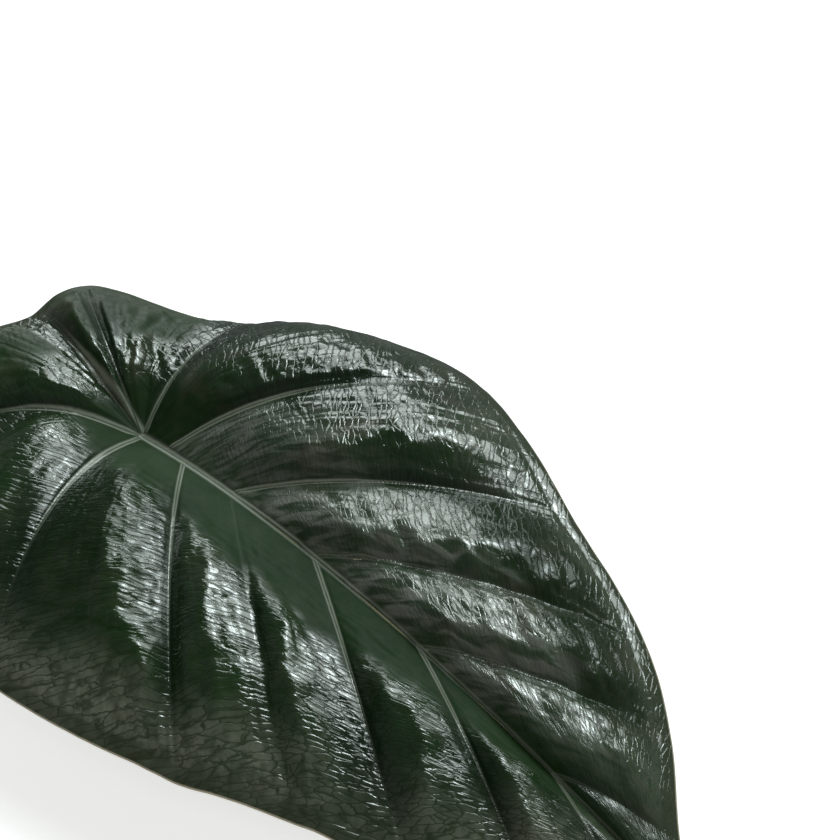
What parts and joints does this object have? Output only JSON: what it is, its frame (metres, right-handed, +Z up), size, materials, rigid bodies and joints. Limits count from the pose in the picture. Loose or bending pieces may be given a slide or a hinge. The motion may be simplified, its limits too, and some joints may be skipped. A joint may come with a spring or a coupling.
{
  "type": "alocasia leaf",
  "caption": "Large dark green glossy heart-shaped leaf with quilted panels between sunken veins, a drooping edge and a cut stalk, lying underside down.",
  "frame": {"origin": "bottom centre of the bounding box, on the surface the leaf lies on", "axes": "+Z up, the upper face of the leaf facing +Z; the tip points toward -Y and the cut end of the stalk toward +Y"},
  "size_m": [0.2692, 0.476, 0.0609],
  "materials": {
    "blade": "waxy dark green upper face with high gloss, paler dull green underside",
    "stalk": "smooth pale green plant stalk, fresh cut end"
  },
  "bodies": {
    "root": {"leaf_blade": "blade", "petiole": "stalk"}
  },
  "joints": []
}
